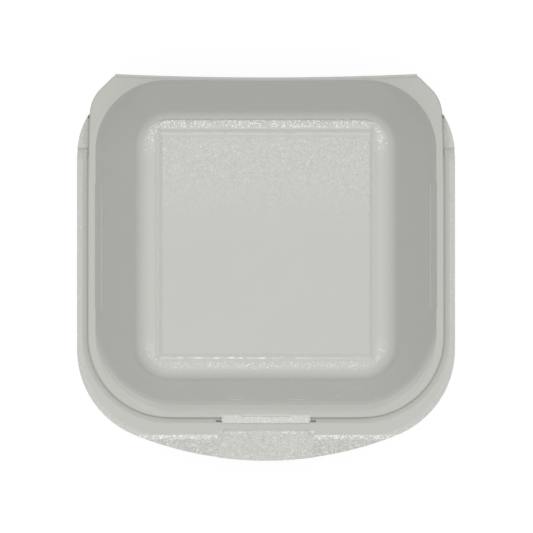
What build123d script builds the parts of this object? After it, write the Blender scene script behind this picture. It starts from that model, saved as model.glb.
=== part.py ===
from build123d import *
import math
import os

# Burger box of foamed polystyrene sheet, closed, in millimetres.
# The origin lies under the middle of the box, on the surface that it stands on.
# +Y points to the hinge at the back, and the latch and thumb pad are at -Y.

# Sheet and parting plane
sheet = 2.0
parting_height = 35.0
parting_gap = 0.3

# Hinge along the back: the crushed edge bows inwards between the two ears
hinge_line_y = 67.4
hinge_half_length = 53.2
hinge_bow = 1.2
web_reach = 0.8
web_thickness = 0.4
crush_depth = 1.2
crush_width = 0.7

# Lid body: the walls' foot on the flange and the edge of the top
lid_height = 32.6
lid_foot_half_width = 59.9
lid_foot_front = 48.5
lid_foot_to_hinge = 1.7
foot_corner_front = 28.5
foot_corner_back = 24.5
lid_top_half_width = 42.2
lid_top_front = 36.7
lid_top_to_hinge = 16.2
lid_top_corner = 10.5
lid_top_edge_radius = 6.0

# The front wall drops steeply at first, then leans out and flares into the lip
front_drop = 7.0
front_drop_draft = 13.0
front_flare_radius = 6.5
flare_steps = 3

# Framing groove round the top panel, and the faint second line in front of its cross runs
groove_half_width = 35.8
groove_front = 29.6
groove_to_hinge = 22.1
groove_floor_width = 0.5
groove_depth = 0.3
groove_side_slope = 1.1
groove_cross_slope = 0.6
second_line_offset = 1.7
second_line_width = 1.6
second_line_depth = 0.15

# Lugs at the foot of the side walls
lug_length = 44.0
lug_centre_y = 7.3
lug_height = 4.6
lug_foot_stand = 0.25
lug_head_stand = 0.12

# Creases across the front wall, each from a low end to a high end, along and up the wall
crease_low_x = 23.0
crease_low_height = 6.2
crease_high_x = 32.3
crease_high_height = 21.9
crease_depth = 0.25

# Low pads on the front wall, above the tongue's shoulders
wall_pad_x = 11.0
wall_pad_height = 5.8
wall_pad_length = 6.0
wall_pad_width = 2.2
wall_pad_stand = 0.2
wall_pad_taper = 45.0

# Lid flange: straight sides, a slight taper, then the round and straight edge of each ear
lid_flange_half_width = 62.6
lid_lip_front = 52.75
taper_start_y = 20.0
ear_start_x = 61.95
ear_start_to_hinge = 13.4
ear_radius = 13.0
ear_turn = 43.5
lid_edge_bevel = 0.35

# Latch tongue, turned down from the front lip, with a shoulder at each end
tongue_half_width = 15.4
tongue_thickness = 1.55
tongue_depth = 4.5
tongue_nose_reach = 0.65
tongue_nose_thickness = 0.5
tongue_taper = 1.2
shoulder_width = 6.3
shoulder_slant = 0.8
shoulder_start = 51.2
tongue_start = 52.3
tongue_rise = 0.3
tongue_edge_bevel = 0.2

# Tray body
tray_foot_half_width = 44.0
tray_foot_front = 38.5
tray_foot_to_hinge = 14.9
tray_foot_corner = 14.0
tray_foot_edge_radius = 6.0
tray_mouth_half_width = 60.0
tray_mouth_front = 50.4
tray_mouth_to_hinge = 2.4
mouth_bevel = 1.2
floor_panel_half_width = 33.0
floor_panel_half_length = 34.0
floor_panel_corner = 8.0
floor_panel_rise = 0.8

# Tray rim: a ledge for the lid's flange, a step, and the raised edge outside it
rim_half_width = 66.5
rim_rise = 1.8
step_gap = 0.35
step_lean = 0.4
step_shoulder_width = 1.25
step_shoulder_drop = 0.5
step_wall = 2.6
rim_front_radius = 121.0
rim_front_tip = 68.2
rim_front_corner = 32.5
rim_back_corner = 28.2
edge_band_width = 1.6
edge_band_drop = 0.2

# Notch across each side of the rim, in front of the back corners
notch_to_hinge = 25.2
notch_depth = 1.5
notch_slope_length = 3.8
notch_wall_length = 1.0

# Front skirt and thumb pad
skirt_fold_y = 59.4
skirt_angle = 13.0
fold_radius = 8.0
pad_half_width = 16.8
pad_fold_y = 57.9
pad_ramp_length = 1.2
pad_angle = 8.0
pad_stand = 0.4
pad_corner = 5.0

# Slot for the tongue, with a blind cut running past both ends
tongue_front = 54.2
slot_clearance = 0.3
slit_half_width = 17.6
slit_width = 0.7
slit_depth = 1.5

# Levels
ledge_top = parting_height - parting_gap / 2
ledge_bottom = ledge_top - sheet
rim_top = ledge_top + rim_rise
lid_flange_bottom = parting_height + parting_gap / 2
lid_flange_top = lid_flange_bottom + sheet
lid_top = parting_height + lid_height
lid_rise = lid_top - lid_flange_top
drop_level = lid_top - front_drop
notch_level = rim_top - notch_depth

# Places that follow the hinge line
lid_foot_back = hinge_line_y - lid_foot_to_hinge
lid_top_back = hinge_line_y - lid_top_to_hinge
groove_back = hinge_line_y - groove_to_hinge
groove_centre_y = (groove_back - groove_front) / 2
groove_half_length = (groove_back + groove_front) / 2
ear_start_y = hinge_line_y - ear_start_to_hinge
ear_tip_y = hinge_line_y + web_reach
tray_foot_back = hinge_line_y - tray_foot_to_hinge
tray_mouth_back = hinge_line_y - tray_mouth_to_hinge
tray_centre_y = (tray_foot_back - tray_foot_front) / 2
notch_back_y = hinge_line_y - notch_to_hinge

# Walls' drafts from the vertical
steep_draft = math.radians(front_drop_draft)
drop_front = lid_top_front + front_drop * math.tan(steep_draft)
lid_side_draft = math.atan((lid_foot_half_width - lid_top_half_width) / lid_rise)
lid_front_draft = math.atan((lid_foot_front - drop_front) / (drop_level - lid_flange_top))
lid_back_draft = math.atan((lid_foot_back - lid_top_back) / lid_rise)
tray_side_draft = math.atan((tray_mouth_half_width - tray_foot_half_width) / ledge_bottom)
tray_front_draft = math.atan((tray_mouth_front - tray_foot_front) / ledge_bottom)
tray_back_draft = math.atan((tray_mouth_back - tray_foot_back) / ledge_bottom)

# The tongue's plate lies a little over the flange, and its slot ends clear of its leg
tongue_top = lid_flange_top + tongue_rise
slot_front = tongue_front + slot_clearance

# Reach of the cutting shapes, and the largest error when an edge is looked up by its place
far = 200.0
near = 0.01


def mix(a, b, share):
    return a + (b - a) * share


def rounded_outline(half_width, front, back, front_corner, back_corner, level):
    """A flat four-sided face with round corners, from y = -front to y = back."""
    middle = (back - front) / 2
    face = Pos(0, middle) * Rectangle(2 * half_width, front + back)
    rows = face.vertices().group_by(Axis.Y)
    face = fillet(rows[0], front_corner)
    face = fillet(face.vertices().group_by(Axis.Y)[-1], back_corner)
    return Pos(0, 0, level) * face


def upright(outline, bottom=0.0, top=far):
    """A solid that stands on a flat outline, between two levels."""
    return extrude(Pos(0, 0, bottom) * outline, top - bottom)


def side_profile(points, half_length=far):
    """A solid that runs along X, with its outline given in Y and Z."""
    outline = make_face(Polyline(*points, close=True))
    return extrude(Plane.YZ * outline, half_length, both=True)


def ease(edges, radius, skin):
    """Rounds an outer edge, or gives the inner edge a bevel as deep as the round it stands for."""
    if skin == 0:
        return fillet(edges, radius)
    bevel = (radius - skin) * (2 - math.sqrt(2))
    return chamfer(edges, bevel)


def back_arc(offset=0.0):
    """The bowed line of the crushed back edge, moved back by the offset."""
    return ThreePointArc(
        (hinge_half_length, hinge_line_y + offset),
        (0, hinge_line_y - hinge_bow + offset),
        (-hinge_half_length, hinge_line_y + offset),
    )


def behind_back_arc():
    """Everything behind the bowed back edge, which is trimmed off both flanges."""
    arc = back_arc()
    start = arc @ 0
    end = arc @ 1
    rest = Polyline(end, (-far, end.Y), (-far, far), (far, far), (far, start.Y), start)
    return Pos(0, 0, -far) * extrude(make_face(arc + rest), 2 * far)


def crush(plate, level, towards):
    """Bevels the plate's back edge at one level, where the sheet is crushed for the hinge."""
    arc_middle_y = hinge_line_y - hinge_bow
    edges = [
        edge
        for edge in plate.edges()
        if abs(edge.center().Z - level) < near
        and abs(edge.center().Y - arc_middle_y) < hinge_bow
        and edge.length > hinge_half_length
    ]
    face = plate.faces().sort_by(Axis.Z)[-1 if towards > 0 else 0]
    return chamfer(edges, crush_width, crush_depth, reference=face)


def lid_section(level, skin):
    """The lid wall's outline at one level, or its inner one where a skin is given."""
    share = (level - lid_flange_top) / lid_rise
    half_width = mix(lid_foot_half_width, lid_top_half_width, share)
    back = mix(lid_foot_back, lid_top_back, share)
    if level > drop_level:
        front = lid_top_front + (lid_top - level) * math.tan(steep_draft)
        front_draft = steep_draft
    else:
        front = drop_front + (drop_level - level) * math.tan(lid_front_draft)
        front_draft = lid_front_draft
    return [
        half_width - skin / math.cos(lid_side_draft),
        front - skin / math.cos(front_draft),
        back - skin / math.cos(lid_back_draft),
        mix(foot_corner_front, lid_top_corner, share) - skin,
        mix(foot_corner_back, lid_top_corner, share) - skin,
    ]


def lid_body(skin):
    """The lid's form, outside or a skin further in, with a flare at the foot of the front wall."""
    radius = front_flare_radius + skin
    turn = math.pi / 2 - lid_front_draft
    centre_y = lid_foot_front + front_flare_radius * math.tan(turn / 2)
    centre_z = lid_flange_top + front_flare_radius
    outlines = []
    first_turn = 0.0
    if skin > 0:
        first_turn = turn / (2 * flare_steps)
        level = centre_z - radius * math.cos(first_turn)
        sizes = lid_section(level, skin)
        sizes[1] = centre_y - radius * math.sin(first_turn)
        outlines.append(rounded_outline(*sizes, lid_flange_bottom - sheet))
    for step in range(flare_steps + 1):
        angle = mix(first_turn, turn, step / flare_steps)
        level = centre_z - radius * math.cos(angle)
        sizes = lid_section(level, skin)
        sizes[1] = centre_y - radius * math.sin(angle)
        outlines.append(rounded_outline(*sizes, level))
    for level in (drop_level, lid_top - skin):
        outlines.append(rounded_outline(*lid_section(level, skin), level))
    body = loft(outlines, ruled=True)
    return ease(body.edges().group_by(Axis.Z)[-1], lid_top_edge_radius, skin)


def flange_outline(gap=0.0):
    """The outline of the lid's flange and ears, or one that runs round it at a gap."""
    half = lid_flange_half_width + gap
    front = lid_lip_front + gap
    corner = foot_corner_front + gap
    front_arc = CenterArc((half - corner, corner - front), corner, -90, 90)
    side = Line(front_arc @ 1, (half, taper_start_y))
    taper = TangentArc(side @ 1, (ear_start_x + gap, ear_start_y), tangent=(0, 1))
    ear = JernArc(taper @ 1, taper % 1, ear_radius + gap, ear_turn)
    run = (ear_tip_y + gap - (ear @ 1).Y) / (ear % 1).Y
    tip = ear @ 1 + ear % 1 * run
    right = front_arc + side + taper + ear + Line(ear @ 1, tip)
    left = mirror(right, Plane.YZ)
    front_line = Line(front_arc @ 0, (corner - half, -front))
    back_line = Line(tip, (-tip.X, tip.Y))
    return make_face(right + left + front_line + back_line)


def groove_block(side, level):
    """A low block up to the groove's height: out past its line where side is 1, in from it at -1."""
    outlines = []
    for share in (0, 1):
        half_width = groove_half_width + side * (groove_floor_width / 2 + share * groove_side_slope)
        half_length = groove_half_length + side * (groove_floor_width / 2 + share * groove_cross_slope)
        outline = Rectangle(2 * half_width, 2 * half_length)
        outlines.append(Pos(0, groove_centre_y, level + share * groove_depth) * outline)
    return loft(outlines, ruled=True)


def groove_ring(level):
    """The framing groove's form: wide at its mouth, narrow at its bottom."""
    return groove_block(1, level) - groove_block(-1, level)


def second_line(groove_run_y):
    """The faint V that the sheet got in front of a cross run, where it slipped in the mould."""
    middle = groove_run_y - second_line_offset
    points = [
        (middle - second_line_width / 2, lid_top),
        (middle, lid_top - second_line_depth),
        (middle + second_line_width / 2, lid_top),
        (middle, lid_top + second_line_depth),
    ]
    return side_profile(points, groove_half_width)


def side_lug():
    """The low lug along the foot of the right wall."""
    bottom = lid_flange_top - sheet / 4
    top = lid_flange_top + lug_height
    slope = math.tan(lid_side_draft)
    foot = lid_foot_half_width + lug_foot_stand + sheet / 4 * slope
    head = lid_foot_half_width + lug_head_stand - lug_height * slope
    root = sheet / 2
    points = [(foot - root, bottom), (foot, bottom), (head, top), (head - root, top)]
    outline = make_face(Polyline(*points, close=True))
    lug = extrude(Plane.XZ * outline, lug_length / 2, both=True)
    return Pos(0, lug_centre_y) * lug


def front_wall_plane():
    """The lower front wall's outer face: x runs along the wall, y up it, z out of it."""
    outwards = (0, -math.cos(lid_front_draft), math.sin(lid_front_draft))
    return Plane(origin=(0, -lid_foot_front, lid_flange_top), x_dir=(1, 0, 0), z_dir=outwards)


def front_crease():
    """The V-shaped crease on the right half of the front wall."""
    low = Vector(crease_low_x, crease_low_height)
    high = Vector(crease_high_x, crease_high_height)
    run = high - low
    middle = (low + high) / 2
    turn = math.degrees(math.atan2(run.Y, run.X))
    side = crease_depth * math.sqrt(2)
    cut = Rot(0, 0, turn) * Rot(45, 0, 0) * Box(run.length, side, side)
    return front_wall_plane() * Pos(middle.X, middle.Y) * cut


def wall_pad():
    """The low pad on the right half of the front wall, above the tongue's shoulder."""
    pad = Pos(0, 0, -wall_pad_stand) * Rectangle(wall_pad_length, wall_pad_width)
    pad = extrude(pad, 2 * wall_pad_stand, taper=wall_pad_taper)
    return front_wall_plane() * Pos(wall_pad_x, wall_pad_height) * pad


def tongue_plan():
    """The tongue's outline from above: shoulders at both ends, the nose at the front."""
    half = tongue_half_width
    inner = half - shoulder_width
    right = [
        (half, -tongue_front),
        (half, -shoulder_start),
        (inner, -shoulder_start),
        (inner - shoulder_slant, -tongue_start),
    ]
    left = [(-x, y) for x, y in reversed(right)]
    return make_face(Polyline(*right, *left, close=True))


def tongue():
    """The latch tongue: a plate, a nose over the slot's edge, and a leg down into the slot."""
    plate = upright(tongue_plan(), tongue_top - tongue_thickness, tongue_top)
    nose_front = -tongue_front - tongue_nose_reach
    nose_bottom = tongue_top - tongue_nose_thickness
    leg_bottom = parting_height - tongue_depth
    leg_back = tongue_thickness - tongue_front
    points = [
        (leg_back, tongue_top),
        (nose_front, tongue_top),
        (nose_front, nose_bottom),
        (-tongue_front, nose_bottom),
        (-tongue_front, leg_bottom),
        (leg_back, leg_bottom),
    ]
    leg = side_profile(points, tongue_half_width)
    leg = fillet(leg.edges().filter_by(Axis.Y).group_by(Axis.Z)[0], tongue_taper)
    whole = plate + leg
    return chamfer(whole.edges().group_by(Axis.Z)[-1], tongue_edge_bevel)


def make_lid():
    flange = upright(flange_outline(), lid_flange_bottom, lid_flange_top) - behind_back_arc()
    flange = crush(flange, lid_flange_top, 1)
    upper = [edge for edge in flange.edges().group_by(Axis.Z)[-1] if edge.center().Y < ear_start_y]
    flange = chamfer(upper, lid_edge_bevel)
    lid = flange + lid_body(0.0)
    right_side = side_lug() + wall_pad()
    lid += right_side + mirror(right_side, Plane.YZ)
    lid -= front_crease() + mirror(front_crease(), Plane.YZ)
    lid -= lid_body(sheet)
    lid += groove_ring(lid_top - sheet - groove_depth)
    lid -= groove_ring(lid_top - groove_depth)
    lid -= second_line(groove_back)
    lid -= second_line(-groove_front)
    return lid + tongue()


def tray_section(level, skin):
    """The tray wall's outline at one level, or its inner one where a skin is given."""
    share = level / ledge_bottom
    return [
        mix(tray_foot_half_width, tray_mouth_half_width, share) - skin / math.cos(tray_side_draft),
        mix(tray_foot_front, tray_mouth_front, share) - skin / math.cos(tray_front_draft),
        mix(tray_foot_back, tray_mouth_back, share) - skin / math.cos(tray_back_draft),
        mix(tray_foot_corner, foot_corner_front, share) - skin,
        mix(tray_foot_corner, foot_corner_back, share) - skin,
    ]


def tray_body(skin, top_level):
    """The tray's tapered form from its foot, or from its floor inside, up to one level."""
    outlines = [
        rounded_outline(*tray_section(skin, skin), skin),
        rounded_outline(*tray_section(top_level, skin), top_level),
    ]
    body = loft(outlines, ruled=True)
    return ease(body.edges().group_by(Axis.Z)[0], tray_foot_edge_radius, skin)


def rim_outline():
    """The tray's outer edge: front arc, round corners, straight sides and straight ears."""
    front_y = rim_front_radius - rim_front_tip
    corner_x = rim_half_width - rim_front_corner
    corner_drop = math.sqrt((rim_front_radius - rim_front_corner) ** 2 - corner_x**2)
    swing = math.degrees(math.atan2(corner_x, corner_drop))
    back_x = rim_half_width - rim_back_corner
    back_y = hinge_line_y - rim_back_corner
    ear_run = hinge_half_length - back_x
    ear_turn = 2 * math.degrees(math.atan2(rim_back_corner, ear_run)) - 90
    front = CenterArc((0, front_y), rim_front_radius, -90, swing)
    corner = CenterArc((corner_x, front_y - corner_drop), rim_front_corner, swing - 90, 90 - swing)
    side = Line(corner @ 1, (rim_half_width, back_y))
    back_corner = CenterArc((back_x, back_y), rim_back_corner, 0, ear_turn)
    tip = (hinge_half_length, hinge_line_y)
    ear = Line(back_corner @ 1, tip)
    right = front + corner + side + back_corner + ear
    back = Line(tip, (-hinge_half_length, hinge_line_y))
    return make_face(right + mirror(right, Plane.YZ) + back)


def rim_line(drop, lag):
    """The rim's line in Y and Z, dropped and, at the notch's steep side, set back."""
    skirt_end = rim_front_tip + sheet
    fall = (skirt_end - skirt_fold_y) * math.tan(math.radians(skirt_angle))
    notch_low_y = notch_back_y - notch_wall_length
    return [
        (-skirt_end, rim_top - fall - drop),
        (-skirt_fold_y, rim_top - drop),
        (notch_low_y - notch_slope_length, rim_top - drop),
        (notch_low_y + lag, notch_level - drop),
        (notch_back_y + lag, rim_top - drop),
        (far, rim_top - drop),
    ]


def soften_skirt_fold(profile):
    """Rounds the fold above the skirt, on each face that it crosses."""
    folds = [
        edge
        for edge in profile.edges().filter_by(Axis.X)
        if abs(edge.center().Y + skirt_fold_y) < near
    ]
    return fillet(folds, fold_radius)


def trimmed_plate():
    """The tray's outline as a plate, with a sloping band inside its trimmed edge."""
    plate = upright(rim_outline(), 0.0, rim_top)
    upper = plate.edges().group_by(Axis.Z)[-1].sort_by(Axis.Y)
    face = plate.faces().sort_by(Axis.Z)[-1]
    return chamfer(upper[:-1], edge_band_width, edge_band_drop, reference=face)


def ledge_space():
    """The space over the ledge: a leaning step, then a shallow shoulder up to the rim."""
    rows = [
        (ledge_top, step_gap),
        (rim_top - step_shoulder_drop, step_gap + step_lean),
        (rim_top + step_shoulder_drop, step_gap + step_lean + 2 * step_shoulder_width),
    ]
    outlines = [Pos(0, 0, level) * flange_outline(gap) for level, gap in rows]
    return loft(outlines, ruled=True)


def tray_flange():
    """Ledge, step, raised rim and front skirt, as one sheet."""
    outer = trimmed_plate()
    top_line = rim_line(0.0, 0.0)
    sheet_profile = soften_skirt_fold(side_profile(top_line + rim_line(sheet, sheet / 2)[::-1]))
    below_rim = soften_skirt_fold(side_profile(top_line + [(far, ledge_bottom), (-far, ledge_bottom)]))
    step_outer = flange_outline(step_gap + step_wall)
    ledge = upright(step_outer, ledge_bottom, ledge_top)
    step = upright(step_outer, ledge_bottom) & below_rim
    raised = (step + sheet_profile - ledge_space()) & outer
    flange = raised + (ledge & outer) - behind_back_arc()
    return crush(flange, ledge_bottom, -1)


def thumb_pad():
    """The flatter pad in the middle of the skirt, which ramps up from the rim to stand proud."""
    end = rim_front_tip + sheet
    start = pad_fold_y - pad_ramp_length
    drop = (end - pad_fold_y) * math.tan(math.radians(pad_angle))
    top = rim_top + pad_stand
    points = [
        (-end, top - drop),
        (-pad_fold_y, top),
        (-start, rim_top),
        (-start, top - sheet),
        (-pad_fold_y, top - sheet),
        (-end, top - drop - sheet),
    ]
    plan = Pos(0, -(start + far) / 2) * Rectangle(2 * pad_half_width, far - start)
    plan = fillet(plan.vertices().group_by(Axis.Y)[-1], pad_corner)
    return side_profile(points) & upright(plan) & upright(rim_outline())


def latch_slot():
    """The slot through the ledge for the tongue, and the blind cut past both its ends."""
    width = 2 * (tongue_half_width + slot_clearance)
    length = tongue_thickness + 2 * slot_clearance
    slot = Pos(0, length / 2 - slot_front) * Rectangle(width, length)
    slit = Pos(0, slit_width / 2 - slot_front) * Rectangle(2 * slit_half_width, slit_width)
    return upright(slot) + upright(slit, rim_top - slit_depth)


def bevel_mouth(tray):
    """Bevels the edge where the ledge turns down into the tray."""
    mouth = rounded_outline(*tray_section(ledge_top, sheet), ledge_top)
    middles = [edge.center() for edge in mouth.edges()]
    edges = [
        edge
        for edge in tray.edges()
        if min((edge.center() - middle).length for middle in middles) < near
    ]
    return chamfer(edges, mouth_bevel)


def floor_panel(level):
    """The raised panel of the floor, as a low block whose sides slope in at 45 degrees."""
    outlines = []
    for rise in (0.0, floor_panel_rise):
        width = 2 * (floor_panel_half_width - rise)
        length = 2 * (floor_panel_half_length - rise)
        outline = RectangleRounded(width, length, floor_panel_corner - rise)
        outlines.append(Pos(0, tray_centre_y, level + rise) * outline)
    return loft(outlines, ruled=True)


def make_tray():
    tray = tray_flange() + thumb_pad()
    tray += tray_body(0.0, ledge_bottom)
    tray -= tray_body(sheet, ledge_top)
    tray = bevel_mouth(tray)
    tray = tray + floor_panel(sheet) - floor_panel(0.0)
    return tray - latch_slot()


def make_hinge():
    """The crushed web that wraps the back edges of tray and lid, bowed as they are."""
    top = lid_flange_top - crush_depth
    bottom = ledge_bottom + crush_depth
    web = bowed_bar(web_reach, bottom, top)
    rounded = web.edges().filter_by(lambda e: e.length > hinge_half_length).group_by(Axis.Y)[-1]
    web = fillet(rounded, web_reach - web_thickness / 8)
    return web - bowed_bar(web_reach - web_thickness, bottom + web_thickness, top - web_thickness)


def bowed_bar(reach, bottom, top):
    """A bar that follows the bowed back edge, between two levels."""
    inner = back_arc()
    outer = back_arc(reach)
    outline = inner + outer + Line(inner @ 0, outer @ 0) + Line(inner @ 1, outer @ 1)
    return upright(make_face(outline), bottom, top)


parts = {
    "base_tray": make_tray(),
    "lid": make_lid(),
    "living_hinge": make_hinge(),
}
os.makedirs("parts", exist_ok=True)
for name, solid in parts.items():
    export_step(solid, f"parts/{name}.step")
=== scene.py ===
import math

import bpy
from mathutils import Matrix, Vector


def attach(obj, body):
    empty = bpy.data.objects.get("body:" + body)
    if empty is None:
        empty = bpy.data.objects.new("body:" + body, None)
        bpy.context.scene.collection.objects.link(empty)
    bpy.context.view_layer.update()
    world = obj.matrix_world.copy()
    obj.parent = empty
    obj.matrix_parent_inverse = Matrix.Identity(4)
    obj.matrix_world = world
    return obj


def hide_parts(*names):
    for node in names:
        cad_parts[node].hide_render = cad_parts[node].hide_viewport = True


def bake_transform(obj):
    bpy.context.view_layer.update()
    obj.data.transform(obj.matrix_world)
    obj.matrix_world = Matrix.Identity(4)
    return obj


# Burger box of foamed polystyrene, closed, seen from straight above. Sizes are in
# millimetres, and MM turns them into Blender's metres. Lamps and floor are in metres.
MM = 0.001

# Camera: over the middle of the box, 600 mm above the parting plane
CAMERA_PLACE = (0.18, 0.26, 635.0)
LENS = 114.9
SENSOR = 36.0

# Hinge line of the two shells
PARTING_HEIGHT = 35.0
HINGE_LINE_Y = 67.4
HINGE_HALF_LENGTH = 53.2
HINGE_BOW = 1.2
WEB_REACH = 0.75
WEB_HALF_HEIGHT = 0.85
WEB_THICKNESS = 0.3
WEB_STEPS = 96
WEB_RING = 16
SMOOTH_ANGLE = math.radians(40)

# Lid: top panel with its framing groove, creases in the front wall, and the latch tongue
LID_TOP = 67.6
GROOVE_HALF_WIDTH = 35.8
GROOVE_FRONT = -29.6
GROOVE_BACK = 45.3
GROOVE_SLOPE_START = 0.25
GROOVE_SLOPE_END = 0.85
GROOVE_ROUNDING = 0.15
EDGE_START = 1.6
FRONT_EDGE_START = 2.4
PANEL_COARSE_FRONT = 4.0
PANEL_COARSE_BACK = 36.0
CREASE_LOW = (23.0, 42.84)
CREASE_HIGH = (32.3, 57.23)
FRONT_WALL_Y = 34.0
LIP_FRONT = 52.75
TONGUE_HALF_WIDTH = 15.4
TONGUE_TOP = 2.6
FLANGE_TOP = 2.2

# Tray rim: the round front corners, the fold of the skirt, and the thumb pad
RIM_CORNER_X = 34.0
RIM_CORNER_Y = -28.9
RIM_CORNER_RADIUS = 32.5
SKIRT_FOLD_Y = 59.4
PAD_HALF_WIDTH = 16.8
PAD_FOLD_Y = 57.9
PAD_RAMP = 1.2
PAD_SOFTENING = 0.3
BEHIND_NOTCH_X = 62.8

# Soft bend at the foot of the tray's step, in the gap round the lid's flange
FLANGE_HALF_WIDTH = 62.6
FLANGE_CORNER = 28.5
TAPER_START_Y = 20.0
TAPER_MIDDLE_Y = 29.0
TAPER_BACK_Y = 47.0
TAPER_END = (61.95, 54.0)
BEND_START_X = 15.9
BEND_CORNER_STEPS = 28
BEND_INNER = 0.1
BEND_OUTER = 0.78
BEND_FOOT = 34.87
BEND_LOW = 35.75
BEND_HIGH = 36.17
NOTCH_FRONT_Y = 37.3
NOTCH_LOW_Y = 41.2
NOTCH_BACK_Y = 42.3
NOTCH_DIP = 1.05
BEND_END_Y = 52.5

# Foam skin: sizes of its cells, crinkles, fine grain and clouds, and the grain's depth
CELL_SIZE = 0.62
CRINKLE_SIZE = 1.1
FINE_SIZE = 0.45
CLOUD_SIZE = 16.0
GRAIN_DEPTH = 0.24
SMOOTH_GRAIN = 0.03
CELL_LEVEL = 0.18

# Share of the bright cells, open foam cells and painted glints, and how far a cell's bright spot
# reaches
OPEN_AND_GLINT_SHARE = 0.5
SPOT_EDGE = 0.44
SPOT_MIDDLE = 0.18
SPOT_GROWTH = 0.1

# Satin of the skin, and how much smoother its shiny zones are
FOAM_IOR = 1.59
SATIN = 0.46
SHINE = 0.3

# Foam colours, in linear light
FOAM = (0.528, 0.535, 0.499, 1.0)
# Paler foam: the mottle's light cells, crushed foam, and painted highlights
FOAM_PALE_AND_HIGHLIGHT = (0.64, 0.648, 0.612, 1.0)
# Darker foam, for random cloudy tone and for painted shade
FOAM_TONE_AND_SHADE = (0.498, 0.504, 0.468, 1.0)
# Darkest cells of the mottle, shown only where painted shade lies
FOAM_SHADED_CELL = (0.42, 0.425, 0.39, 1.0)
# Bright spots: open foam cells, laid thickest as painted glints
OPEN_CELL_AND_GLINT = (0.82, 0.828, 0.8, 1.0)
CLOUD_TONE = 0.15
MOTTLE = 0.45

# Studio: even light, and a floor a hair under the foot
WORLD_LIGHT = 0.56
FLOOR_SIZE = 6.0
FLOOR_HEIGHT = -0.05
FLOOR_DULL = (0.12, 0.12, 0.12, 1.0)
FLOOR_FAINT = (0.2, 0.2, 0.2, 1.0)
FLOOR_GLOW = 0.86

# Lamps: name, place, size and power. All point at the middle of the box.
LAMP_TARGET = (0.0, 0.0, 0.05)
LAMPS = [
    ("overhead", (-0.03, 0.0, 1.2), 0.6, 1.75),
    ("back", (-0.03, 0.5, 1.09), 0.12, 1.6),
    ("front", (-0.03, -0.48, 1.1), 0.12, 1.2),
    ("front_low", (-0.03, -0.93, 0.7), 0.9, 1.95),
]


def clear_selection():
    bpy.ops.object.select_all(action="DESELECT")


def apply_modifiers(piece):
    bpy.context.view_layer.objects.active = piece
    for modifier in list(piece.modifiers):
        bpy.ops.object.modifier_apply(modifier=modifier.name)


# Shader maths


class Value:
    """A shader socket that takes part in Python expressions."""

    def __init__(self, paint, socket):
        self.paint = paint
        self.socket = socket

    def math(self, operation, *others):
        settings = {"operation": operation}
        inputs = dict(enumerate((self,) + others))
        return self.paint.add("ShaderNodeMath", settings, inputs)

    def larger(self, other):
        return self.math("MAXIMUM", other)

    def __add__(self, other):
        return self.math("ADD", other)

    def __sub__(self, other):
        return self.math("SUBTRACT", other)

    def __mul__(self, other):
        return self.math("MULTIPLY", other)

    def __truediv__(self, other):
        return self.math("DIVIDE", other)

    def __rsub__(self, other):
        return self.paint.number(other).math("SUBTRACT", self)

    def __neg__(self):
        return self * -1.0

    __radd__ = __add__
    __rmul__ = __mul__


class Paint:
    """One material: adds nodes, joins them and gives back their outputs."""

    def __init__(self, name):
        self.material = bpy.data.materials.new(name)
        self.material.use_nodes = True
        self.tree = self.material.node_tree
        self.tree.nodes.clear()

    def add(self, kind, settings=None, inputs=None, output=0):
        node = self.tree.nodes.new(kind)
        for key, value in (settings or {}).items():
            setattr(node, key, value)
        for key, value in (inputs or {}).items():
            if isinstance(value, Value):
                self.tree.links.new(value.socket, node.inputs[key])
            else:
                node.inputs[key].default_value = value
        return Value(self, node.outputs[output])

    def number(self, value):
        return self.add("ShaderNodeMath", {"operation": "ADD"}, {0: value, 1: 0.0})

    def ramp(self, value, low, high):
        """Goes smoothly from 0 at low to 1 at high."""
        settings = {"interpolation_type": "SMOOTHSTEP"}
        return self.add("ShaderNodeMapRange", settings, {0: value, 1: low, 2: high})

    def mix(self, share, first, second):
        inputs = {"Factor": share, 6: first, 7: second}
        return self.add("ShaderNodeMix", {"data_type": "RGBA"}, inputs, 2)

    def position(self):
        """The point in the box's own frame, in millimetres, and its three parts."""
        place = self.add("ShaderNodeTexCoord", output=3)
        inputs = {0: place, "Scale": 1.0 / MM}
        point = self.add("ShaderNodeVectorMath", {"operation": "SCALE"}, inputs)
        parts = [self.add("ShaderNodeSeparateXYZ", inputs={0: point}, output=i) for i in range(3)]
        return point, parts

    def noise(self, point, size, detail=2.0, roughness=0.5):
        """Soft noise whose lumps are about as large as the size, from 0 to 1."""
        inputs = {"Vector": point, "Scale": 1.0 / size, "Detail": detail, "Roughness": roughness}
        return self.add("ShaderNodeTexNoise", inputs=inputs)

    def cells(self, point, size):
        """Foam cells: the distance to each cell's middle, and a random number for each."""
        inputs = {"Vector": point, "Scale": 1.0 / size}
        rounded = dict(inputs, Smoothness=0.6)
        distance = self.add("ShaderNodeTexVoronoi", {"feature": "SMOOTH_F1"}, rounded)
        colour = self.add("ShaderNodeTexVoronoi", {"feature": "F1"}, inputs, 1)
        random = self.add("ShaderNodeSeparateColor", inputs={0: colour})
        return distance, random

    def bump(self, height):
        """Bumps whose height is given in millimetres."""
        inputs = {"Strength": 1.0, "Distance": MM, "Height": height}
        return self.add("ShaderNodeBump", inputs=inputs)

    def finish(self, shader):
        """Sends the shader to the material's output, and gives back the material."""
        output = self.tree.nodes.new("ShaderNodeOutputMaterial")
        self.tree.links.new(shader.socket, output.inputs[0])
        return self.material


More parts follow.
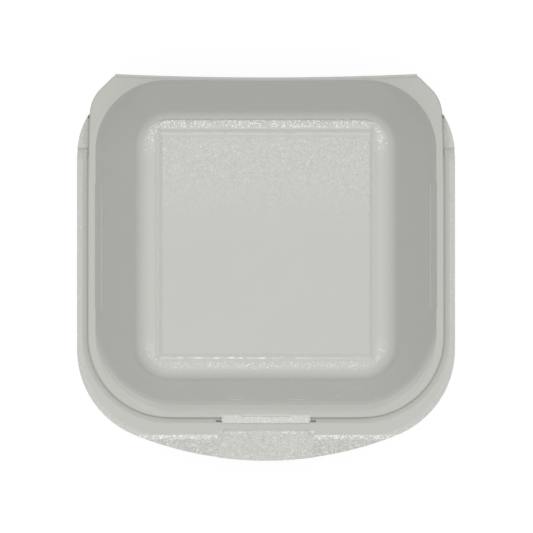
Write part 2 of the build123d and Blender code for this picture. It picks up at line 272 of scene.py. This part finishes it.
def foam(name, zones):
    """Foam skin: satin and even, and crinkled with shiny cells where the zones say so.

    The zones give six values at each point, most of them from 0 to 1: how coarse the grain is,
    how shiny, how many cells are bright (open foam cells, and painted glints), how pale (crushed
    foam, and painted highlights), how dull (painted shade), and a relief in millimetres.
    """
    paint = Paint(name)
    point, (x, y, z) = paint.position()
    zone = zones(paint, x, y, z)
    coarse = zone["coarse"]
    lump, chance = paint.cells(point, CELL_SIZE)
    crinkle = paint.noise(point, CRINKLE_SIZE, 1.5, 0.55)
    fine = paint.noise(point, FINE_SIZE, 2.0, 0.6)
    cloud = paint.noise(point, CLOUD_SIZE)
    # Random cloudy tone darkens the foam, and so does painted shade, the zones' dull value
    shade = (paint.ramp(cloud, 0.3, 0.7) * CLOUD_TONE).larger(zone["dull"])
    colour = paint.mix(shade, FOAM, FOAM_TONE_AND_SHADE)
    # The zones' pale value: crushed foam, and painted highlights on edges, groove, tongue, rim
    # and fold
    colour = paint.mix(zone["pale"], colour, FOAM_PALE_AND_HIGHLIGHT)
    # The mottle's darker cells are darkened further by painted shade
    shaded_low_cell = paint.mix(zone["dull"], FOAM, FOAM_SHADED_CELL)
    mottle = paint.mix(paint.ramp(chance, 0.1, 0.9), shaded_low_cell, FOAM_PALE_AND_HIGHLIGHT)
    colour = paint.mix(coarse * MOTTLE, colour, mottle)
    # Bright spots: open foam cells, laid thick where glints fall, so partly painted glints
    open_and_glint_cells = paint.ramp(chance + zone["open_and_glint"] * OPEN_AND_GLINT_SHARE, 1.0, 1.1)
    spot = paint.ramp(lump - zone["open_and_glint"] * SPOT_GROWTH, SPOT_EDGE, SPOT_MIDDLE)
    open_and_glint_cells = open_and_glint_cells * spot
    colour = paint.mix(open_and_glint_cells, colour, OPEN_CELL_AND_GLINT)
    grain = (crinkle - 0.5) * 0.9 + (CELL_LEVEL - lump * lump) * 0.8 + (fine - 0.5) * 0.2
    depth = (SMOOTH_GRAIN + coarse * (1.0 - SMOOTH_GRAIN)) * GRAIN_DEPTH
    inputs = {
        "Base Color": colour,
        "IOR": FOAM_IOR,
        "Roughness": SATIN - zone["gloss"] * SHINE + fine * 0.05,
        "Normal": paint.bump(grain * depth + zone["relief"]),
    }
    return paint.finish(paint.add("ShaderNodeBsdfPrincipled", inputs=inputs))


def along_hinge(paint, x, y):
    """How far a point lies behind the bowed back edge, in millimetres."""
    share = x / HINGE_HALF_LENGTH
    return y - HINGE_LINE_Y + (1.0 - share * share) * HINGE_BOW


def groove_glint(paint, y, line_y):
    """The groove's slope that faces the back: its share of the surface, and its rounding."""
    low = line_y - GROOVE_SLOPE_END
    high = line_y - GROOVE_SLOPE_START
    rise = paint.add("ShaderNodeMapRange", None, {0: y, 1: low, 2: high})
    near = paint.ramp(y, low - 0.2, low) * paint.ramp(y, high + 0.2, high)
    return near, rise * GROOVE_ROUNDING


def band(paint, value, low, high, soft):
    """1 between two values, fading to 0 over a soft edge outside them."""
    return paint.ramp(value, low - soft, low) * paint.ramp(value, high + soft, high)


def lid_zones(paint, x, y, z):
    """Coarse round the top's edge at front and back, at the panel's back, and on the tongue."""
    side = x.math("ABSOLUTE")
    top = paint.ramp(z, LID_TOP - 0.45, LID_TOP - 0.2)
    inside = paint.ramp(side, GROOVE_HALF_WIDTH + 0.5, GROOVE_HALF_WIDTH - 1.0)
    outside = paint.ramp(side, GROOVE_HALF_WIDTH, GROOVE_HALF_WIDTH + 1.2)
    back_edge = paint.ramp(y, GROOVE_BACK + EDGE_START - 0.7, GROOVE_BACK + EDGE_START)
    front_end = GROOVE_FRONT - FRONT_EDGE_START
    front_edge = paint.ramp(y, front_end + 1.0, front_end)
    corner = paint.ramp(y, GROOVE_BACK - 10.0, GROOVE_BACK - 1.0) * outside
    front_corner = paint.ramp(y, GROOVE_FRONT + 8.0, GROOVE_FRONT) * outside * 0.5
    panel_end = paint.ramp(y, GROOVE_BACK - 1.6, GROOVE_BACK - 2.4)
    panel = paint.ramp(y, PANEL_COARSE_FRONT, PANEL_COARSE_BACK) * panel_end * inside
    back_glint, back_round = groove_glint(paint, y, GROOVE_BACK)
    front_glint, front_round = groove_glint(paint, y, GROOVE_FRONT)
    patches = paint.ramp(paint.noise(x, 5.0), 0.35, 0.65) * 0.6 + 0.3
    glint = (back_glint + front_glint) * inside * top * patches
    corners = (corner * 0.8).larger(front_corner)
    back_edge = back_edge.larger(corners)
    edge = back_edge.larger(front_edge * 0.7) * top
    # Bright cells on the top's back edge, fewer at the front: painted glints
    glint_spots = back_edge.larger(front_edge * 0.36) * top
    tongue_top = PARTING_HEIGHT + TONGUE_TOP
    low = paint.ramp(z, tongue_top + 0.6, tongue_top)
    tongue = paint.ramp(-y, LIP_FRONT - 1.5, LIP_FRONT) * low
    tongue = tongue * paint.ramp(side, TONGUE_HALF_WIDTH + 0.5, TONGUE_HALF_WIDTH)
    # Painted highlight: paler foam on the top's back edge and on the groove's slope that faces
    # the back, where the back lamp glints
    painted_edge_glint = (back_edge * 0.3).larger(back_glint * inside * patches * 0.9) * top
    coarse = edge.larger(panel * top * 0.65).larger(tongue * 0.6)
    crushed = paint.ramp(along_hinge(paint, x, y), -0.8, -0.6)
    across = (side - CREASE_LOW[0]) * (CREASE_HIGH[1] - CREASE_LOW[1])
    up = (z - CREASE_LOW[1]) * (CREASE_HIGH[0] - CREASE_LOW[0])
    away = ((across - up) / math.dist(CREASE_LOW, CREASE_HIGH)).math("ABSOLUTE")
    crease = paint.ramp(away, 0.5, 0.2) * band(paint, z, CREASE_LOW[1], CREASE_HIGH[1], 0.3)
    crease = crease * paint.ramp(-y, FRONT_WALL_Y, FRONT_WALL_Y + 1.0)
    flange_top = PARTING_HEIGHT + FLANGE_TOP
    flange = paint.ramp(z, flange_top + 0.1, flange_top)
    # Painted shade: the flange at the lid's foot is darkened where the wall shades it, more
    # towards the back ears
    dull = flange * (0.4 + paint.ramp(y, 35.0, 62.0) * 0.4) * (1.0 - tongue)
    # Pale: crushed foam behind the hinge is real; the tongue, back edge and groove get painted
    # highlights, and the creases painted light against their shade
    pale = crushed.larger(tongue * 1.3).larger(painted_edge_glint).larger(crease * 0.35)
    return {
        "coarse": coarse,
        "gloss": paint.ramp(coarse, 0.0, 1.0).larger(glint),
        # Bright cells as painted glints on the edges, the panel's back and the tongue
        "open_and_glint": glint_spots.larger(panel * top * 0.15).larger(tongue * 0.5),
        "pale": pale,
        # Painted shade also on the panel's back, toning down the back lamp's sheen
        "dull": dull.larger(panel * top * 0.35),
        "relief": (back_round + front_round) * inside * top,
    }


def tray_zones(paint, x, y, z):
    """Coarse on the skirt, the pad, the outer band of the rim, and behind the side notches."""
    side = x.math("ABSOLUTE")
    across = (side - RIM_CORNER_X).larger(0.0)
    along = (RIM_CORNER_Y - y).larger(0.0)
    reach = (across * across + along * along).math("SQRT")
    high = paint.ramp(z, PARTING_HEIGHT - 5.0, PARTING_HEIGHT - 3.0)
    edge = paint.ramp(reach, RIM_CORNER_RADIUS - 2.4, RIM_CORNER_RADIUS - 1.2) * high
    skirt = paint.ramp(-y, SKIRT_FOLD_Y - 0.6, SKIRT_FOLD_Y + 0.4) * high
    in_pad = paint.ramp(side, PAD_HALF_WIDTH + 0.4, PAD_HALF_WIDTH)
    pad = paint.ramp(-y, PAD_FOLD_Y - 0.6, PAD_FOLD_Y) * in_pad * high
    fold = band(paint, -y, SKIRT_FOLD_Y - 0.2, SKIRT_FOLD_Y + 1.0, 0.4) * (1.0 - in_pad)
    pad_fold = band(paint, -y, PAD_FOLD_Y - 0.1, PAD_FOLD_Y + 0.4, 0.3) * in_pad * 0.7
    beside = paint.ramp(side, BEHIND_NOTCH_X, BEHIND_NOTCH_X + 0.4)
    behind = paint.ramp(y, NOTCH_BACK_Y - 0.5, NOTCH_BACK_Y) * beside * high
    rise = paint.add("ShaderNodeMapRange", None, {0: -y, 1: PAD_FOLD_Y - PAD_RAMP, 2: PAD_FOLD_Y})
    rise = rise * paint.ramp(-y, PAD_FOLD_Y + 6.0, PAD_FOLD_Y)
    rise = rise * paint.ramp(side, PAD_HALF_WIDTH, PAD_HALF_WIDTH - 3.0)
    coarse = (edge * 0.5).larger(skirt * (1.0 - in_pad)).larger(pad * 0.7)
    coarse = coarse.larger(behind * 0.7)
    fold = fold.larger(pad_fold) * high
    return {
        "coarse": coarse,
        "gloss": paint.ramp(coarse, 0.0, 1.0).larger(fold),
        # Bright cells, most on the skirt's fold as painted glints of the front lamps, and open
        # cells on the coarse zones
        "open_and_glint": (fold * 1.7).larger(coarse * 0.35),
        # Painted highlight: paler foam on the rim's outer band and along the fold
        "pale": (edge * 0.35).larger(fold * 0.5),
        # Painted shade: the skirt below the fold is darkened, less on the pad and not on the fold
        # line
        "dull": skirt * (1.0 - in_pad * 0.2) * (1.0 - fold),
        "relief": rise * -PAD_SOFTENING,
    }


def web_zones(paint, x, y, z):
    """The same all over: pale crushed foam with a light grain."""
    nothing = paint.number(0.0)
    return {
        "coarse": paint.number(0.3),
        "gloss": paint.number(0.5),
        "open_and_glint": nothing,
        "pale": paint.number(0.8),
        "dull": nothing,
        "relief": nothing,
    }


def wear(piece, material):
    """Gives the piece this material and no other."""
    piece.data.materials.clear()
    piece.data.materials.append(material)


# Living hinge


def make_web():
    """The crushed web: a thin channel that wraps the back edges along their bowed line."""
    clear_selection()
    bpy.ops.mesh.primitive_circle_add(vertices=WEB_RING, radius=1.0)
    web = bpy.context.object
    web.name = "hinge_web"
    bow_radius = (HINGE_HALF_LENGTH**2 + HINGE_BOW**2) / (2 * HINGE_BOW)
    half_angle = math.asin(HINGE_HALF_LENGTH / bow_radius)
    start = Vector((0.0, HINGE_LINE_Y - HINGE_BOW, PARTING_HEIGHT)) * MM
    centre = start + Vector((0.0, bow_radius * MM, 0.0))
    bpy.ops.object.mode_set(mode="EDIT")
    bpy.ops.transform.rotate(value=math.pi / 2, orient_axis="Y", center_override=(0, 0, 0))
    bpy.ops.transform.resize(value=(1.0, WEB_REACH * MM, WEB_HALF_HEIGHT * MM))
    bpy.ops.transform.translate(value=start)
    bpy.ops.mesh.bisect(plane_co=start, plane_no=(0, 1, 0), clear_inner=True)
    bpy.ops.mesh.select_all(action="SELECT")
    bpy.ops.transform.rotate(value=-half_angle, orient_axis="Z", center_override=centre)
    bpy.ops.mesh.spin(steps=WEB_STEPS, angle=2 * half_angle, center=centre, axis=(0, 0, 1))
    bpy.ops.mesh.select_all(action="SELECT")
    bpy.ops.mesh.normals_make_consistent(inside=False)
    bpy.ops.object.mode_set(mode="OBJECT")
    wall = web.modifiers.new("wall", "SOLIDIFY")
    wall.thickness = WEB_THICKNESS * MM
    wall.offset = -1.0
    apply_modifiers(web)
    bpy.ops.object.shade_smooth_by_angle(angle=SMOOTH_ANGLE)
    return web


# Bend at the foot of the step


def stand_section(x, y):
    """Starts the bend: its section stands across the gap, with the top sloping to the lid."""
    width = BEND_OUTER - BEND_INNER
    height = BEND_HIGH - BEND_FOOT
    bpy.ops.mesh.primitive_plane_add(size=1.0)
    section = bpy.context.object
    bpy.ops.object.mode_set(mode="EDIT")
    bpy.ops.transform.resize(value=(height * MM, width * MM, 1.0))
    bpy.ops.transform.rotate(value=math.pi / 2, orient_axis="Y", center_override=(0, 0, 0))
    place = Vector((x, y, BEND_FOOT + height / 2)) * MM
    bpy.ops.transform.translate(value=place)
    return section


def pick_points(piece, wanted):
    """Selects the points of the piece being edited that the test wants."""
    bpy.ops.mesh.select_mode(type="VERT")
    bpy.ops.mesh.select_all(action="DESELECT")
    bpy.ops.object.mode_set(mode="OBJECT")
    for point in piece.data.vertices:
        point.select = wanted(point.co / MM)
    bpy.ops.object.mode_set(mode="EDIT")


def draw_out(x, y, z=0.0):
    """Carries the selected section on by a step across, along and up."""
    bpy.ops.mesh.extrude_region_move(TRANSFORM_OT_translate={"value": Vector((x, y, z)) * MM})


def make_step_bend():
    """The rounded foot of the step, from the latch slot round and down through each notch."""
    clear_selection()
    middle = (BEND_INNER + BEND_OUTER) / 2
    bend = stand_section(BEND_START_X, -LIP_FRONT - middle)
    bend.name = "step_foot_bend"
    pick_points(bend, lambda co: co.z > BEND_LOW and co.y > -LIP_FRONT - middle)
    bpy.ops.transform.translate(value=(0, 0, (BEND_LOW - BEND_HIGH) * MM))
    bpy.ops.mesh.select_all(action="SELECT")
    bpy.ops.mesh.select_mode(type="FACE")
    corner = Vector((FLANGE_HALF_WIDTH - FLANGE_CORNER, FLANGE_CORNER - LIP_FRONT, 0.0))
    draw_out(corner.x - BEND_START_X, 0.0)
    turn = {"steps": BEND_CORNER_STEPS, "angle": -math.pi / 2}
    bpy.ops.mesh.spin(center=corner * MM, axis=(0, 0, 1), **turn)
    draw_out(0.0, TAPER_START_Y - corner.y)
    lean = (FLANGE_HALF_WIDTH - TAPER_END[0]) / (TAPER_END[1] - TAPER_START_Y) ** 2
    rows = [
        (TAPER_START_Y, 0.0),
        (TAPER_MIDDLE_Y, 0.0),
        (NOTCH_FRONT_Y, 0.0),
        (NOTCH_LOW_Y, -NOTCH_DIP),
        (NOTCH_BACK_Y, NOTCH_DIP),
        (TAPER_BACK_Y, 0.0),
        (BEND_END_Y, 0.0),
    ]
    for (start, _), (end, rise) in zip(rows, rows[1:]):
        inwards = lean * ((start - TAPER_START_Y) ** 2 - (end - TAPER_START_Y) ** 2)
        draw_out(inwards, end - start, rise)
    bpy.ops.object.mode_set(mode="OBJECT")
    mirror = bend.modifiers.new("mirror", "MIRROR")
    mirror.use_axis[0] = True
    apply_modifiers(bend)
    bpy.ops.object.mode_set(mode="EDIT")
    bpy.ops.mesh.select_all(action="SELECT")
    bpy.ops.mesh.normals_make_consistent(inside=False)
    bpy.ops.object.mode_set(mode="OBJECT")
    bpy.ops.object.shade_smooth_by_angle(angle=SMOOTH_ANGLE)
    return bend


# Scene


def make_floor():
    """A pale floor: white where it is seen or reflected, dull in the light it throws back."""
    bpy.ops.mesh.primitive_plane_add(size=FLOOR_SIZE, location=(0, 0, FLOOR_HEIGHT * MM))
    floor = bpy.context.object
    floor.name = "floor"
    paint = Paint("floor_paper")
    rays = [paint.add("ShaderNodeLightPath", output=i) for i in (0, 3, 6)]
    seen = rays[0].larger(rays[1]).larger(rays[2])
    dull = paint.add("ShaderNodeBsdfDiffuse", inputs={"Color": FLOOR_DULL})
    faint = paint.add("ShaderNodeBsdfDiffuse", inputs={"Color": FLOOR_FAINT})
    white = {"Color": (1, 1, 1, 1), "Strength": FLOOR_GLOW}
    glow = paint.add("ShaderNodeEmission", inputs=white)
    bright = paint.add("ShaderNodeAddShader", inputs={0: faint, 1: glow})
    both = paint.add("ShaderNodeMixShader", inputs={0: seen, 1: dull, 2: bright})
    wear(floor, paint.finish(both))
    return floor


def make_lamp(name, place, size, power):
    """A square lamp that points at the box."""
    lamp = bpy.data.lights.new(name, "AREA")
    lamp.shape = "SQUARE"
    lamp.size = size
    lamp.energy = power
    holder = bpy.data.objects.new(name, lamp)
    holder.location = place
    direction = Vector(LAMP_TARGET) - Vector(place)
    holder.rotation_euler = direction.to_track_quat("-Z", "Y").to_euler()
    bpy.context.scene.collection.objects.link(holder)


def make_world():
    """Lights the box evenly, and is white where it is seen, reflected or seen through."""
    world = bpy.data.worlds.new("studio")
    world.use_nodes = True
    tree = world.node_tree
    background = tree.nodes["Background"]
    background.inputs["Color"].default_value = (1, 1, 1, 1)
    rays = tree.nodes.new("ShaderNodeLightPath")
    share = rays.outputs["Is Camera Ray"]
    for name in ("Is Glossy Ray", "Is Transmission Ray"):
        either = tree.nodes.new("ShaderNodeMath")
        either.operation = "MAXIMUM"
        tree.links.new(share, either.inputs[0])
        tree.links.new(rays.outputs[name], either.inputs[1])
        share = either.outputs[0]
    strength = tree.nodes.new("ShaderNodeMapRange")
    strength.inputs["To Min"].default_value = WORLD_LIGHT
    tree.links.new(share, strength.inputs["Value"])
    tree.links.new(strength.outputs[0], background.inputs["Strength"])
    bpy.context.scene.world = world


def make_camera():
    """Looks straight down on the box."""
    data = bpy.data.cameras.new("camera")
    data.sensor_width = SENSOR
    data.lens = LENS
    camera = bpy.data.objects.new("camera", data)
    camera.location = Vector(CAMERA_PLACE) * MM
    bpy.context.scene.collection.objects.link(camera)
    bpy.context.scene.camera = camera


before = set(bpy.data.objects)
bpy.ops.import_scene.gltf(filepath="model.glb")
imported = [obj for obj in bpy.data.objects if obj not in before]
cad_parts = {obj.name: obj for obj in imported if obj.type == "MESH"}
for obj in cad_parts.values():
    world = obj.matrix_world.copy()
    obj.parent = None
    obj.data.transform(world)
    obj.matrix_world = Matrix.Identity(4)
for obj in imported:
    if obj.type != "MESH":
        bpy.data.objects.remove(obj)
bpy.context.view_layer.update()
make_camera()
make_world()
make_floor()
for lamp in LAMPS:
    make_lamp(*lamp)

wear(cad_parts["lid"], foam("lid_foam", lid_zones))
tray_foam = foam("tray_foam", tray_zones)
wear(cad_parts["base_tray"], tray_foam)

bend = make_step_bend()
wear(bend, tray_foam)
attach(bend, "tray")

web = make_web()
wear(web, foam("crushed_foam", web_zones))
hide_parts("living_hinge")
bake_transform(web)

bpy.context.scene.view_settings.view_transform = "Standard"
